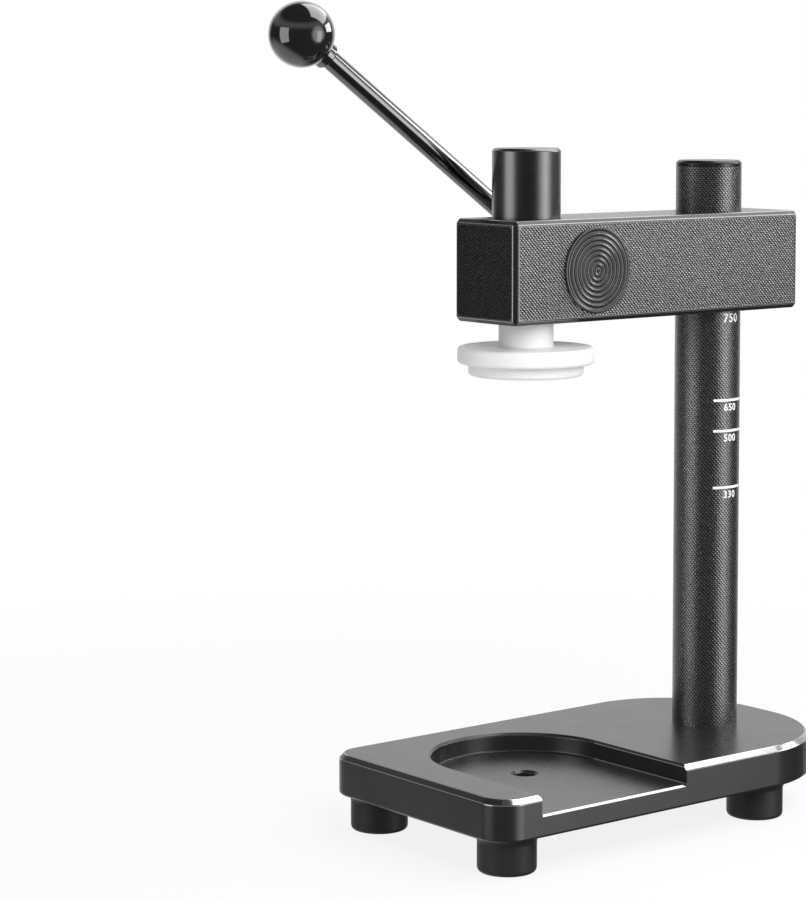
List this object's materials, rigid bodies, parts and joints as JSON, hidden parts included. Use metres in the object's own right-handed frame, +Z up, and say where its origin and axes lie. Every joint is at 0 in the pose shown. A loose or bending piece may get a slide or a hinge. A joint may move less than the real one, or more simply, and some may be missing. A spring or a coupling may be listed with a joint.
{
  "type": "bench lid sealing press",
  "caption": "Bench press for closing can and cup lids: footed base plate with a can recess, round column, sliding head beam and a lever that drives a rack ram.",
  "frame": {"origin": "on the pressing axis, at the underside of the base plate, where the locating hole opens", "axes": "+Z up along the pressing axis, +X from the pressing axis towards the column, -Y towards the open side of the can recess"},
  "size_m": [0.2805, 0.127, 0.3881],
  "materials": {
    "base_paint": "satin graphite coating with a bright broken edge",
    "foot_rubber": "moulded matte rubber",
    "zinc_steel": "bright zinc",
    "column_coat": "fine grained black powder coat",
    "cap_metal": "smooth satin black",
    "beam_coat": "grained faces inside smooth satin edges",
    "cover_metal": "turned rings, satin",
    "bush_bronze": "plain turned",
    "machined_steel": "machined and oiled",
    "nylon": "white nylon, faintly translucent",
    "hub_metal": "satin black",
    "black_oxide": "black oxide",
    "rod_metal": "dark polished",
    "knob_gloss": "polished phenolic",
    "ram_metal": "blackened, satin",
    "knob_matte": "fine grained moulding"
  },
  "bodies": {
    "root": {"base_plate": "base_paint", "foot_front_near": "foot_rubber", "foot_front_far": "foot_rubber", "foot_back_near": "foot_rubber", "foot_back_far": "foot_rubber", "foot_screws": "zinc_steel", "foot_washers": "zinc_steel", "column_tube": "column_coat", "column_foot_plug": "zinc_steel", "column_bolt": "zinc_steel", "column_washer": "zinc_steel", "column_cap": "cap_metal"},
    "head": {"head_beam": "beam_coat", "pinion_cover": "cover_metal", "pinion_bush_near": "bush_bronze", "pinion_bush_far": "bush_bronze", "thrust_washer": "nylon", "ram_guide_screw": "black_oxide", "lock_pad": "nylon"},
    "lever": {"pinion_shaft": "machined_steel", "lever_hub": "hub_metal", "hub_key": "machined_steel", "hub_end_screw": "black_oxide", "hub_end_washer": "black_oxide", "rod_set_screw": "black_oxide", "lever_rod": "rod_metal", "ball_collar": "rod_metal", "ball_insert": "bush_bronze", "ball_knob": "knob_gloss"},
    "ram": {"ram": "ram_metal", "press_head": "nylon", "press_head_screw": "zinc_steel", "press_head_washer": "zinc_steel"},
    "lock": {"lock_knob": "knob_matte", "lock_stud": "zinc_steel"}
  },
  "joints": [
    {"name": "height_slide", "type": "slide", "parent": "root", "child": "head", "axis": [0, 0, 1], "range_m": [-0.085, 0.012]},
    {"name": "lever_turn", "type": "hinge", "parent": "head", "child": "lever", "pos_m": [0.0245, 0, 0.248], "axis": [0, -1, 0], "range_deg": [-20, 85]},
    {"name": "ram_slide", "type": "slide", "parent": "head", "child": "ram", "axis": [0, 0, -1], "range_m": [-0.0045, 0.018]},
    {"name": "lock_turn", "type": "hinge", "parent": "head", "child": "lock", "pos_m": [0.1175, 0.031, 0.248], "axis": [0, 1, 0], "range_deg": [0, 360]}
  ],
  "couplings": [
    {"joint": "ram_slide", "follows": "lever_turn", "m_per_rad": 0.012}
  ]
}
